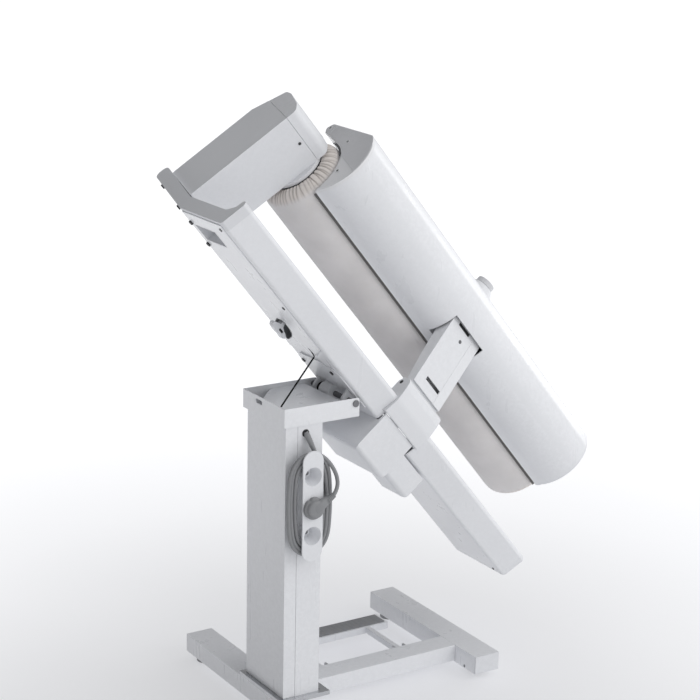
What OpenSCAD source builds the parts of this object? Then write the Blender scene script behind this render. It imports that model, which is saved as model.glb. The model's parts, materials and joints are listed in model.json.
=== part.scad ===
// Folding household rotary ironer on a column stand.
// Millimetres, +Z up, +Y towards the user, +X towards the free end of the roller.
// The head (beam, gear housing, roller, pressing shoe) tilts about one pin on the
// stand; it is drawn half way between the level working position and the upright
// storage position. Head pieces are built in head axes: l along the roller,
// y across it, u square to the beam, with l = u = 0 on the tilt pin.

/* [Head] */
// Tilt of the roller below level, degrees
tilt = 50.6; // [50.6:0.1:50.6]
// Beam length towards the gear housing, from the tilt pin
beam_back = 450; // [440:5:460]
// Beam length towards the free end, from the tilt pin
beam_front = 534; // [524:2:544]
// Underside of the beam above the tilt pin
beam_u = 13; // [13:0.2:15]
// Depth of the flat beam floor
floor_d = 150; // [146:1:154]
// Thickness of the beam box
beam_t = 28; // [26:1:30]
// Angle of the sloping front leg and of the gear housing
slope = 15; // [15:0.5:15]

/* [Roller] */
// Radius over the padding
roller_r = 80; // [78:0.5:80]
// Radius of the steel tube
tube_r = 70; // [66:1:72]
// Roller start, along the head
roller_a = -322; // [-324:1:-320]
// Roller length
roller_len = 836; // [820:2:840]
// Roller axis across the head
roller_y = 165; // [165:1:165]
// Roller axis above the tilt pin
roller_u = 232; // [232:1:232]
// Roller shaft radius
shaft_r = 10; // [9:0.5:12]

/* [Pressing shoe] */
// Gap between padding and pressing plate when closed
press_gap = 1.5; // [1:0.25:3]
// Pressing plate thickness
plate_t = 4; // [3:0.5:5]
// Shoe start, along the head
shoe_a = -318; // [-320:1:-316]
// Shoe length
shoe_len = 832; // [826:1:834]
// Arm width
arm_w = 91; // [85:1:95]
// Arm start, along the head
arm_a = 58; // [56:1:60]

/* [Stand] */
// Tray length
tray_w = 156; // [150:1:156]
// Tray depth
tray_d = 150; // [146:1:152]
// Tray wall height
tray_h = 35; // [30:1:38]
// Column width
col_w = 76; // [70:1:80]
// Column depth
col_d = 138; // [130:1:140]
// Height of the tilt pin above the floor
pivot_z = 607; // [600:1:615]
// Height of the foot bars
bar_h = 36; // [32:1:40]
// Width of a foot bar
bar_w = 56; // [50:1:60]
// Sheet thickness of the stand
sheet = 2; // [1.5:0.1:2.5]

/* [Cord] */
// Mains lead diameter
cord_d = 7.4; // [6.5:0.1:8]

/* [Hidden] */
$fn = 64;

// the part's origin: middle of its footprint box, on the floor
org_x = 310.475;
org_y = 170.0;
pivot_x = 148;
top_z = pivot_z + 10;           // rim of the tray
tray_z = top_z - tray_h;        // bottom of the tray
col_x = 5;
col_y = 4;
bar_z = 14;                     // underside of the foot bars
bar_y0 = -8;
bar_y1 = 366;
left_x = -4;
right_x = 431;
wheel_r = 18;
wheel_y = 26;
feet_y = 338;
base_top = bar_z + bar_h;
roller_b = roller_a + roller_len;
shoe_b = shoe_a + shoe_len;
arm_b = arm_a + arm_w;
hs_a = -440;                    // gear housing, along the head
hs_b = -337;
piv_y = 11;                     // arm pivot, in head axes
piv_u = 96;
plate_r = roller_r + press_gap;
slv_a = 49;                     // arm sleeve, along the head
slv_b = 160;
wrap_x = 43.5;                  // cord winding plate
wrap_z = top_z - 179;
wrap_y = -26;
plug_z = wrap_z - 2;
gland_x = 46;
gland_z = top_z - 51;

// ---------- helpers ----------
module site() translate([-org_x, -org_y, 0]) children();
module head() site() translate([pivot_x, 0, pivot_z]) rotate([0, tilt, 0]) children();
// a (y, u) outline drawn out along the head
module ext(a, b) translate([a, 0, 0]) rotate([90, 0, 90]) linear_extrude(b - a) children();
// an (x, z) outline drawn out from y0 to y1
module yext(a, b) translate([0, b, 0]) rotate([90, 0, 0]) linear_extrude(b - a) children();
module lcyl(a, b, y, u, r) translate([a, y, u]) rotate([0, 90, 0]) cylinder(h = b - a, r = r);
module ycyl(a, b, x, z, r) translate([x, a, z]) rotate([-90, 0, 0]) cylinder(h = b - a, r = r);
module box(a, b) translate(a) cube([b[0] - a[0], b[1] - a[1], b[2] - a[2]]);
module obround(w, h) {
  square([w, h - w], center = true);
  for (s = [-1, 1]) translate([0, s * (h - w) / 2]) circle(d = w);
}
function unit(v) = v / norm(v);
function fillet(a, b, c, r, n) =
  let (u1 = unit(a - b), u2 = unit(c - b), ang = acos(u1 * u2), m = unit(u1 + u2),
       o = b + m * (r / sin(ang / 2)), d = r / tan(ang / 2),
       s = b + u1 * d - o, e = b + u2 * d - o,
       a0 = atan2(s[1], s[0]), a1 = atan2(e[1], e[0]), da = ((a1 - a0 + 540) % 360) - 180)
  [for (i = [0:n]) o + r * [cos(a0 + da * i / n), sin(a0 + da * i / n)]];
// polygon with rounded corners: points and one radius each
function rpoly(P, R, n = 5) = [for (i = [0:len(P) - 1])
  each (R[i] > 0 ? fillet(P[(i + len(P) - 1) % len(P)], P[i], P[(i + 1) % len(P)], R[i], n) : [P[i]])];
function arc(cx, cy, r, a0, a1, n) = [for (i = [0:n]) [cx + r * cos(a0 + (a1 - a0) * i / n), cy + r * sin(a0 + (a1 - a0) * i / n)]];
// smooth run through points, k steps between two of them
function cr(a, b, c, d, t) = 0.5 * ((2 * b) + (c - a) * t + (2 * a - 5 * b + 4 * c - d) * t * t + (3 * b - a - 3 * c + d) * t * t * t);
function smooth(P, k) = [for (i = [0:len(P) - 2]) for (j = [0:k - 1])
  cr(P[max(i - 1, 0)], P[i], P[i + 1], P[min(i + 2, len(P) - 1)], j / k), P[len(P) - 1]];
module tube(Q, r, ref, s = 10) {
  n = len(Q);
  T = [for (i = [0:n - 1]) unit(Q[min(i + 1, n - 1)] - Q[max(i - 1, 0)])];
  pts = [for (i = [0:n - 1]) let (a = unit(cross(T[i], ref)), b = cross(T[i], a))
    for (j = [0:s - 1]) Q[i] + r * (cos(360 * j / s) * a + sin(360 * j / s) * b)];
  faces = concat([[for (j = [0:s - 1]) j]], [[for (j = [s - 1:-1:0]) (n - 1) * s + j]],
    [for (i = [0:n - 2]) for (j = [0:s - 1]) each
      [[i * s + j, (i + 1) * s + j, (i + 1) * s + (j + 1) % s], [i * s + j, (i + 1) * s + (j + 1) % s, i * s + (j + 1) % s]]]);
  polyhedron(points = pts, faces = faces);
}

// ---------- outlines in head axes ----------
fl = beam_u + beam_t;           // top of the beam floor
sx = cos(slope);
sy = sin(slope);
// sloping leg: point at distance d along it, offset n square to it
function leg(d, n) = [floor_d + d * sx - n * sy, beam_u + d * sy + n * sx];
// back of the beam outline, with the upright rear lip
beam_out = rpoly([[0, beam_u], [floor_d, beam_u], leg(166, 0), leg(166, beam_t), [floor_d + 2, fl], [22, fl], [3, 53], [-2, 68], [-10, 68], [-13, 60]],
                 [7, 18, 11, 11, 12, 14, 6, 3.5, 4, 6]);
beam_in = [[1.2, beam_u + 7], [3, beam_u + 4], [7, beam_u + 2], [floor_d, beam_u + 2], leg(156, 2), leg(163, 9), leg(163, beam_t - 9), leg(156, beam_t - 2), [floor_d + 2, fl - 2], [21, fl - 2], [1.6, 51.5], [-3.9, 66], [-7.8, 66], [-10.8, 59.6]];
// gear housing outline in axes turned by the slope angle
hs_lo = beam_u * sx - floor_d * sy + beam_t;   // top of the sloping leg
hs_out = [[183, hs_lo], [300, hs_lo], [300, 185], [268, 252.5], [250, 256], [205, 250.5], [183, 240]];
hs_rad = [3, 3, 5, 8, 30, 24, 14];
hs_in = [[186, hs_lo + 3], [297, hs_lo + 3], [297, 184], [266, 249.5], [249.5, 253], [205.5, 247.5], [186, 238.3]];
hs_irad = [1, 1, 4, 6, 30, 20, 11];
seam_u = 218.5;
// pressing shoe: curved back, flat top, thick front lip, open towards the roller
function pl(a, r) = [roller_y + r * cos(a), roller_u + r * sin(a)];
function plarc(r, a, b) = [for (i = [0:20]) pl(a + (b - a) * i / 20, r)];
back_y = 110;
back_u = 283;
back_r = 79;
shoe_profile = concat([[80.5, 205.5]], arc(back_y, back_u, back_r, 243, 144, 14),
  fillet([44, 326], [70, 353], [206, 355], 16, 4), fillet([70, 353], [207, 355], [217, 342], 7, 3),
  fillet([207, 355], [217, 342], [208, 331], 6, 3), [[207, 330.6], [186, 326]], plarc(plate_r + plate_t, 98, 196));
shoe_hollow = concat(arc(back_y, back_u, back_r - 2, 238, 144, 12), [[74.5, 351], [204.3, 353], [213.8, 342.2], [205.8, 333], [187.8, 328.6]],
  [for (i = [0:14]) pl(100 + 90 * i / 14, plate_r + plate_t + 2.4)]);

// ---------- stand ----------
module column_left_shell() color("gainsboro") site() difference() {
  box([col_x, col_y, base_top + 8], [col_x + 25, col_y + col_d, tray_z]);
  box([col_x + sheet, col_y + sheet, base_top], [col_x + 30, col_y + col_d - sheet, tray_z + 1]);
}
module column_right_shell() color("whitesmoke") site() difference() {
  box([col_x + 25.4, col_y, base_top + 8], [col_x + col_w, col_y + col_d, tray_z]);
  box([col_x + 20, col_y + sheet, base_top], [col_x + col_w - sheet, col_y + col_d - sheet, tray_z + 1]);
  ycyl(col_y - 1, col_y + 3, gland_x, gland_z, 5.6);
  for (s = [-56, 56]) ycyl(col_y - 1, col_y + 3, wrap_x, wrap_z + s, 2.5);
}
module base_plate() color("silver") site() difference() {
  box([left_x, -6, base_top], [100, 152, base_top + 8]);
  for (x = [12, 84], y = [10, 136]) translate([x, y, base_top - 1]) cylinder(h = 10, r = 3.3);
}
module cross_member() color("whitesmoke") site() difference() {
  box([left_x + bar_w, 58, bar_z + 3], [right_x, 108, base_top]);
  box([left_x + bar_w - 1, 61, bar_z + 6], [right_x + 1, 105, base_top - 3]);
}
module foot_bar(x) site() difference() {
  box([x, bar_y0, bar_z], [x + bar_w, bar_y1, base_top]);
  box([x + sheet, bar_y0 - 1, bar_z + sheet], [x + bar_w - sheet, bar_y1 + 1, base_top - sheet]);
  box([x + bar_w / 2 - 13, wheel_y - 22, bar_z - 1], [x + bar_w / 2 + 13, wheel_y + 22, bar_z + 4]);
  translate([x - 1, wheel_y, wheel_r]) rotate([0, 90, 0]) cylinder(h = bar_w + 2, r = 3);
  translate([x + bar_w / 2, feet_y, bar_z - 1]) cylinder(h = 4, r = 4);
}
module left_foot_bar() color("whitesmoke") foot_bar(left_x);
module right_foot_bar() color("whitesmoke") foot_bar(right_x);
module foot_end_caps() color("lightgray") site() for (x = [left_x, right_x], e = [0, 1]) {
  y = e == 0 ? bar_y0 : bar_y1;
  box([x, y - (e == 0 ? 3 : 0), bar_z], [x + bar_w, y + (e == 0 ? 0 : 3), base_top]);
  box([x + sheet, y - (e == 0 ? 0 : 8), bar_z + sheet], [x + bar_w - sheet, y + (e == 0 ? 8 : 0), base_top - sheet]);
}
module levelling_feet() color("dimgray") site() for (x = [left_x, right_x]) translate([x + bar_w / 2, feet_y, 0]) {
  cylinder(h = 8, r = 19);
  translate([0, 0, 8]) cylinder(h = 6, r = 11);
  translate([0, 0, 14]) cylinder(h = 20, r = 4);
}
// axles, and the screws that hold the cord wrap
module stand_screws() color("silver") site() {
  for (x = [left_x, right_x]) translate([x, wheel_y, wheel_r]) rotate([0, 90, 0]) cylinder(h = bar_w, r = 3);
  for (s = [-56, 56]) {
    ycyl(-3, col_y + 5, wrap_x, wrap_z + s, 2.5);
    ycyl(-5.4, -3, wrap_x, wrap_z + s, 4.5);
  }
}
module wheel(x) site() translate([x + bar_w / 2 - 10, wheel_y, wheel_r]) rotate([0, 90, 0]) difference() {
  union() { cylinder(h = 20, r = wheel_r - 1); translate([0, 0, 3]) cylinder(h = 14, r = wheel_r); }
  translate([0, 0, -1]) cylinder(h = 22, r = 3.06);
  for (z = [-1, 17]) translate([0, 0, z]) difference() { cylinder(h = 4, r = 13); translate([0, 0, -1]) cylinder(h = 6, r = 7); }
}
module left_wheel() color("dimgray") wheel(left_x);
module right_wheel() color("dimgray") wheel(right_x);

module hinge_tray() color("whitesmoke") site() difference() {
  union() {
    box([0, 0, tray_z], [tray_w, tray_d, tray_z + sheet]);
    // raised inner floor, with the hinge well to the right of it
    translate([0, 0, pivot_z]) linear_extrude(2) polygon([[0, 0], [129, 0], [129, tray_d], [66, tray_d], [50, 141], [34, 124], [12, 99], [4, 86], [0, 78]]);
    box([0, 0, tray_z], [1.8, tray_d, top_z]);
    for (y = [0, tray_d - 1.8]) yext(y, y + 1.8) polygon(rpoly([[0, tray_z], [tray_w, tray_z], [tray_w, top_z], [0, top_z]], [0, 2, 4, 0]));
    box([tray_w - 1.8, 0, tray_z], [tray_w, tray_d, tray_z + 3.6]);
  }
  ycyl(-1, 3, pivot_x, pivot_z, 5);
  ycyl(tray_d - 3, tray_d + 1, pivot_x, pivot_z, 5);
  // catch slot for the latch, in the left wall
  for (y = [84, 100]) translate([-1, y, pivot_z]) rotate([0, 90, 0]) cylinder(h = 4, r = 4.2);
  box([-1, 84, pivot_z - 4.2], [3, 100, pivot_z + 4.2]);
  box([1.7, 79, pivot_z - 1], [11, 105, pivot_z + 3]);
  // slit in the inner floor
  box([83, 69, pivot_z - 1], [92, 71.2, pivot_z + 3]);
}
module tilt_pin() color("silver") site() {
  ycyl(0, tray_d, pivot_x, pivot_z, 5);
  ycyl(-2.2, 0, pivot_x, pivot_z, 6.5);
  ycyl(tray_d, tray_d + 2.2, pivot_x, pivot_z, 6.5);
}
module balance_spring() color("dimgray") site() difference() {
  ycyl(107, 119.5, pivot_x, pivot_z, 10);
  ycyl(106, 121, pivot_x, pivot_z, 5.0);
}
// cord winding plate on two hollow funnels
module cord_wrap() color("gainsboro") site() difference() {
  union() {
    yext(wrap_y - 3, wrap_y) translate([wrap_x, wrap_z]) obround(42, 208);
    for (s = [-56, 56]) translate([wrap_x, wrap_y, wrap_z + s]) rotate([-90, 0, 0]) cylinder(h = col_y - wrap_y, r1 = 19.5, r2 = 14);
  }
  for (s = [-56, 56]) {
    translate([wrap_x, wrap_y - 3.01, wrap_z + s]) rotate([-90, 0, 0]) cylinder(h = 26.01, r1 = 17.5, r2 = 9);
    ycyl(wrap_y, col_y + 1, wrap_x, wrap_z + s, 2.5);
  }
  for (s = [-1, 1]) ycyl(wrap_y - 4, wrap_y + 1, wrap_x + s * 8, plug_z + s * 5.2, 2.5);
}
module cord_gland() color("gray") site() difference() {
  union() {
    ycyl(col_y - 1, col_y, gland_x, gland_z, 7.2);
    ycyl(col_y, col_y + 5, gland_x, gland_z, 5.6);
  }
  ycyl(col_y - 15, col_y + 6, gland_x, gland_z, 4.6);
}
// lead from the gland to the winding, and tail from the winding to the plug
lead_pts = [[46, 3.6, 567.5], [46.7, -1.2, 563.2], [48.2, -5.6, 556.6], [50.2, -8.9, 549.2], [52.6, -10.2, 541.4], [55.5, -10.3, 533]];
tail_pts = [[64, -19, 530], [73, -21, 523], [81, -24, 511], [88, -27, 496], [91.6, -30, 480], [90.8, -33.5, 468], [87, -36.5, 460], [80.5, -38, 455.7]];
module cord_lead() color("gray") site() tube(smooth(lead_pts, 4), cord_d / 2, [1, 0.2, 0.4], 10);
module cord_winding() color("gray") site() difference() {
  yext(-22, -6) translate([wrap_x, wrap_z]) obround(90, 200);
  yext(-23, -5) translate([wrap_x, wrap_z]) obround(39, 152);
}
module cord_tail() color("gray") site() tube(smooth(tail_pts, 4), cord_d / 2, [0, 1, 0.1], 10);
// right-angled plug, its pins parked in the winding plate
module plug_body() color("gray") site() translate([wrap_x, wrap_y - 3, plug_z]) {
  ycyl(-7, 0, 0, 0, 20.5);
  ycyl(-13, -7, 0, 0, 17);
  rotate([0, 62, 0]) {
    translate([0, -9, 0]) cylinder(h = 32, r = 8.5);
    translate([0, -9, 32]) cylinder(h = 10, r = 6);
    for (z = [34, 38]) translate([0, -9, z]) cylinder(h = 2, r = 7);
  }
}
module plug_pins() color("silver") site() for (s = [-1, 1])
  ycyl(wrap_y - 3, wrap_y + 14, wrap_x + s * 8, plug_z + s * 5.2, 2.4);
module pedal_bracket() color("silver") site() for (x = [160, 340]) difference() {
  union() {
    box([x - 14, 108, bar_z + 4], [x - 10, 128, bar_z + 30]);
    box([x + 10, 108, bar_z + 4], [x + 14, 128, bar_z + 30]);
    box([x - 14, 108, bar_z + 4], [x + 14, 110, bar_z + 30]);
    translate([x - 14, 121, bar_z + 20]) rotate([0, 90, 0]) cylinder(h = 28, r = 3);
  }
}
module foot_pedal() color("whitesmoke") site() difference() {
  union() {
    for (x = [160, 340]) {
      translate([x - 5, 121, bar_z + 20]) rotate([0, 90, 0]) cylinder(h = 10, r = 8);
      box([x - 5, 121, bar_z + 14], [x + 5, 239, bar_z + 26]);
    }
    box([110, 238, bar_z + 12], [390, 284, bar_z + 26]);
  }
  for (x = [160, 340]) translate([x - 6, 121, bar_z + 20]) rotate([0, 90, 0]) cylinder(h = 12, r = 3.06);
}
module pedal_tread() color("dimgray") site() {
  box([116, 242, bar_z + 26], [384, 280, bar_z + 28]);
  for (i = [0:5]) box([120, 245 + 6 * i, bar_z + 28], [380, 247.5 + 6 * i, bar_z + 29.5]);
}
// thin stay from the tray rim to the underside of the beam
stay_a = [2.0, 16, 618.3];
stay_b = [93.6, 56, 688.0];
stay_c = [84.9, 58.6, 702.9];
module stay_cable() color("black") site() {
  tube([for (i = [0:5]) stay_a + (stay_b - stay_a) * i / 5], 1.6, [0, 1, 0], 8);
  tube([for (i = [0:2]) stay_b + (stay_c - stay_b) * i / 2], 0.9, [0, 1, 0], 8);
}

// ---------- head ----------
module beam() color("whitesmoke") head() difference() {
  ext(-beam_back + 20, beam_front - 10) polygon(beam_out);
  ext(-beam_back + 19, beam_front - 9) polygon(beam_in);
  // hand recess and latch recess in the underside
  box([-415.1, 58.9, beam_u - 1], [-376.9, 132.1, beam_u + 4]);
  translate([0, 0, beam_u - 1]) linear_extrude(5) latch_outline(1.6);
  // cable hole
  translate([-114.3, 59, beam_u - 1]) cylinder(h = 5, r = 3);
  // notch for the arm sleeve, and window for the sector lever
  box([slv_a - 0.3, -30, 30.7], [slv_b + 0.3, 30, 80]);
  box([arm_a - 0.3, -30, beam_u - 1], [slv_b + 0.3, 30, 31]);
  box([90, 29, beam_u - 1], [118, 54, fl + 1]);
}
module beam_drive_cap() color("darkgray") head() difference() {
  ext(-beam_back, -beam_back + 20) polygon(beam_out);
  ext(-beam_back + 4, -beam_back + 21) polygon(beam_in);
}
// end cap with its upper and lower corners rounded
module beam_free_cap() color("whitesmoke") head() intersection() {
  ext(beam_front - 10, beam_front) polygon(beam_out);
  yext(-40, 200) polygon(rpoly([[beam_front - 11, beam_u], [beam_front, beam_u], [beam_front, 68], [beam_front - 11, 68]], [0, 8, 8, 0], 6));
}
module underside_plate() color("whitesmoke") head() difference() {
  translate([0, 0, beam_u - 2]) linear_extrude(2) polygon([[-444, 8], [-128, 8], [-96, 52], [-94, 147], [-444, 147]]);
  box([-415.1, 58.9, beam_u - 3], [-376.9, 132.1, beam_u + 1]);
  translate([0, 0, beam_u - 3]) linear_extrude(5) latch_outline(1.6);
  // cable hole and the slot that leads to it
  translate([-114.3, 59, beam_u - 3]) cylinder(h = 5, r = 3);
  translate([0, 0, beam_u - 3]) linear_extrude(5) polygon([[-90, 52.8], [-90, 57.2], [-114.3, 60.9], [-114.3, 56.7]]);
}
// outline of the latch recess, grown by e
module latch_outline(e) offset(delta = e) polygon([[-182, 100], [-183, 82], [-178, 77], [-163, 78.5], [-150, 84], [-136, 98], [-124, 118], [-118, 130], [-121, 137], [-150, 137], [-166, 123]]);
module handle_cup() color("lightgray") head() difference() {
  box([-415, 59, beam_u - 2.4], [-377, 132, beam_u + 19]);
  box([-413.5, 60.5, beam_u - 3], [-378.5, 130.5, beam_u + 17.5]);
}
module latch_cup() color("lightgray") head() difference() {
  translate([0, 0, beam_u - 2.4]) linear_extrude(20) latch_outline(1.5);
  translate([0, 0, beam_u - 3]) linear_extrude(19) latch_outline(0);
  ycyl(70, 120, -174, 22, 2.5);
}
module hinge_bracket() color("silver") head() difference() {
  union() {
    translate([0, 0, beam_u - 2.7]) linear_extrude(2.7) polygon(rpoly([[-70, 143], [-82, 126], [-82, 60], [-74, 46], [-74, 20], [-58, 9], [26, 7], [26, 143]], [6, 6, 8, 10, 10, 14, 0, 0]));
    for (y = [24, 122]) yext(y, y + 6) polygon(rpoly([[-17, beam_u - 2], [-12, -12], [12, -12], [19, beam_u - 2]], [0, 9, 9, 0]));
    difference() {
      ycyl(70, 104, 0, 0, 16);
      box([-30, 60, beam_u - 2], [30, 110, 30]);
      ycyl(73, 101, 0, 0, 13.5);
    }
  }
  ycyl(20, 130, 0, 0, 5.05);
  for (y = [36, 134]) translate([-59, y, beam_u - 4]) cylinder(h = 6, r = 2.6);
}
module gear_housing() color("whitesmoke") head() difference() {
  rotate([slope, 0, 0]) difference() {
    ext(hs_a, hs_b) polygon(rpoly(hs_out, hs_rad));
    ext(hs_a + 3, hs_b - 3) polygon(rpoly(hs_in, hs_irad));
    box([hs_a - 1, 150, seam_u - 0.2], [hs_b + 1, 320, 260]);
  }
  lcyl(hs_b - 10, hs_b + 5, roller_y, roller_u, 24);
}
module panel_frame() rotate([slope, 0, 0]) translate([hs_a + 51.5, 276.1, 235.5]) rotate([-64.6, 0, 0]) children();
module housing_top_cover() color("whitesmoke") head() difference() {
  rotate([slope, 0, 0]) difference() {
    ext(hs_a, hs_b) polygon(rpoly(hs_out, hs_rad));
    ext(hs_a + 3, hs_b - 3) polygon(rpoly(hs_in, hs_irad));
    box([hs_a - 1, 150, -40], [hs_b + 1, 320, seam_u + 0.2]);
  }
  panel_frame() cube([66.4, 26.4, 16], center = true);
}
module switch_panel() color("lightgray") head() panel_frame() difference() {
  translate([0, 0, -1.5]) cube([66, 26, 3], center = true);
  translate([-12, 0, 0]) cube([24.6, 16.6, 10], center = true);
  translate([20, 0, -4]) cylinder(h = 5, r = 3);
}
module power_switch() color("darkgray") head() panel_frame() translate([-12, 0, 0]) intersection() {
  cube([24, 16, 12], center = true);
  translate([0, 0, -33]) rotate([0, 90, 0]) cylinder(h = 24, r = 35.5, center = true);
}
// motor, its gear head, and the belt drive to the roller shaft
mot_y = 243;
mot_u = 62;
module drive_motor() color("dimgray") head() rotate([slope, 0, 0]) {
  lcyl(hs_a + 6, hs_a + 48, mot_y, mot_u, 30);
  box([hs_a + 8, 221, hs_lo + 3], [hs_a + 46, 265, 40]);
}
module gearbox() color("gray") head() rotate([slope, 0, 0]) difference() {
  box([hs_a + 48, 213, 32], [hs_a + 66, 273, 92]);
  lcyl(hs_a + 50, hs_a + 67, mot_y, mot_u, 4.05);
}
module motor_pulley() color("silver") head() rotate([slope, 0, 0]) {
  lcyl(hs_a + 51, hs_a + 88, mot_y, mot_u, 4);
  lcyl(hs_a + 73, hs_a + 87, mot_y, mot_u, 10.4);
  for (l = [hs_a + 72, hs_a + 86]) lcyl(l, l + 2, mot_y, mot_u, 14);
}
pul_l = hs_a + 72;
bp1 = [mot_y, mot_u];
bp2 = [roller_y * sx + roller_u * sy, -roller_y * sy + roller_u * sx];
function beltpts(r1, r2, n) = let (v = bp2 - bp1, d = norm(v), a = atan2(v[1], v[0]), g = acos((r1 - r2) / d))
  concat([for (i = [0:n]) bp1 + r1 * [cos(a + g + (360 - 2 * g) * i / n), sin(a + g + (360 - 2 * g) * i / n)]],
         [for (i = [0:n]) bp2 + r2 * [cos(a - g + 2 * g * i / n), sin(a - g + 2 * g * i / n)]]);
module drive_belt() color("black") head() rotate([slope, 0, 0]) difference() {
  ext(hs_a + 75, hs_a + 85) polygon(beltpts(13.2, 29.2, 24));
  ext(hs_a + 74, hs_a + 86) polygon(beltpts(10.8, 26.8, 24));
}
module shaft_support() color("gray") head() difference() {
  rotate([slope, 0, 0]) box([hs_a + 3, 192, 150], [hs_a + 16, 247, 211]);
  lcyl(hs_a + 6, hs_a + 20, roller_y, roller_u, shaft_r + 0.05);
}
module shaft_bearing() color("silver") head() difference() {
  union() { lcyl(hs_b - 12, hs_b, roller_y, roller_u, 24); lcyl(hs_b, hs_b + 7, roller_y, roller_u, 50); }
  lcyl(hs_b - 13, hs_b + 8, roller_y, roller_u, shaft_r + 0.05);
}
// box that carries the pressing arm, under and behind the beam
module arm_base_housing() color("whitesmoke") head() difference() {
  intersection() {
    ext(arm_a, arm_b + 1) polygon(rpoly([[-10, -56], [145, -56], [145, beam_u], [-3, beam_u], [-7, 30.6], [-10.5, 30.6]], [9, 10, 0, 0, 0, 0]));
    yext(-20, 150) polygon(rpoly([[arm_a, -56], [arm_b + 1, -56], [arm_b + 1, 40], [arm_a, 40]], [12, 12, 0, 0], 6));
  }
  ext(arm_a + 4, arm_b - 3) polygon([[-4, -50], [-1, -53], [142, -53], [142, beam_u - 3], [-7, beam_u - 3], [-7, -46]]);
  box([90, 4, beam_u - 4], [118, 54, beam_u + 1]);
}
module terminal_box() color("whitesmoke") head() difference() {
  intersection() {
    ext(arm_b + 1, arm_b + 75) polygon(rpoly([[-6, -44], [73, -44], [73, beam_u], [16, beam_u], [16, 8], [-6, 8]], [10, 12, 0, 0, 0, 0]));
    yext(-20, 150) polygon(rpoly([[arm_b + 1, -44], [arm_b + 75, -44], [arm_b + 75, 20], [arm_b + 1, 20]], [0, 9, 0, 0], 6));
  }
  ext(arm_b + 4, arm_b + 71) polygon([[0, -38], [3, -41], [70, -41], [70, beam_u - 3], [19, beam_u - 3], [19, 5], [-3, 5], [-3, -34]]);
}
// sleeve behind the beam: bulged near face, side cheeks that hold the arm pin
module arm_sleeve() color("whitesmoke") head() difference() {
  ext(slv_a, slv_b) polygon(rpoly([[-14.7, 31], [-19, 62], [-14, 90], [-9, 104], [-1, 108.6], [14, 106], [20, 96], [20, 60], [20, 31]], [3, 40, 20, 7, 3, 5, 4, 0, 0]));
  ext(arm_a - 0.6, arm_b + 0.6) polygon([[-11.7, 30], [-16, 62], [-11, 90], [-6, 102.6], [0.2, 105.2], [0.2, 120], [40, 120], [40, 30]]);
  lcyl(slv_a - 1, slv_b + 1, piv_y, piv_u, 4);
}
// gear motor under the beam; its pinion turns the arm's sector lever
pin_y = 30;
pin_u = -24;
sec_r = norm([pin_y - piv_y, pin_u - piv_u]) - 11.4;
module press_motor() color("dimgray") head() difference() {
  union() {
    lcyl(arm_a + 4, arm_a + 23, pin_y + 44, -24, 27);
    box([arm_a + 4, pin_y - 16, -41], [arm_a + 23, pin_y + 44, -7]);
  }
  lcyl(arm_a + 5, arm_a + 30, pin_y, pin_u, 4.05);
}
module press_pinion() color("silver") head() {
  lcyl(arm_a + 6, 112, pin_y, pin_u, 4);
  lcyl(98, 110, pin_y, pin_u, 11);
}
// paddle under the beam on a stem in the recess; its tip hooks into the tray's left wall
module latch_lever() color("whitesmoke") head() translate([-174, 0, 22]) difference() {
  union() {
    ycyl(85, 99, 0, 0, 5);
    yext(86, 98) polygon(rpoly([[-3, 1], [-3, -15.5], [-13.5, -19.5], [-17.5, -24], [-13, -29], [-2, -30], [12, -29], [21, -29.8], [24.2, -26.8], [24, -23], [18.5, -20.5], [12, -19], [6, -16], [4, -12], [4, 1]],
      [0, 2, 3, 3, 4, 6, 0, 1, 1, 1.5, 5, 4, 2, 2, 0]));
  }
  ycyl(80, 130, 0, 0, 2.56);
  for (l = [4, 11]) ycyl(80, 95, l, -22.8, 2.3);
  box([4, 80, -25.1], [11, 95, -20.5]);
}
// small visible screws on the head, and the latch and arm pins
module head_screws() color("dimgray") head() {
  ycyl(76, 113, -174, 22, 2.5);
  lcyl(slv_a, slv_b, piv_y, piv_u, 4);
  for (l = [-431, -235]) translate([l, 20, beam_u - 3.2]) cylinder(h = 1.2, r = 3.5);
  translate([519, 20, beam_u - 1.2]) cylinder(h = 1.2, r = 2.6);
  for (y = [36, 134]) {
    translate([-59, y, beam_u - 4.7]) cylinder(h = 2, r = 4.5);
    translate([-59, y, beam_u - 2.7]) cylinder(h = 2.7, r = 2.6);
  }
  // small pads along the far side of the underside
  for (l = [-418, -364]) translate([l, 142, beam_u - 5]) cylinder(h = 3, r = 4.6);
  rotate([slope, 0, 0]) for (y = [171, 277]) translate([-441, y, hs_lo - beam_t - 3]) cylinder(h = 3, r = 4.6);
  rotate([slope, 0, 0]) for (l = [-385]) translate([l, 183, 210]) rotate([90, 0, 0]) cylinder(h = 1.2, r = 2.8);
}
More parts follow.
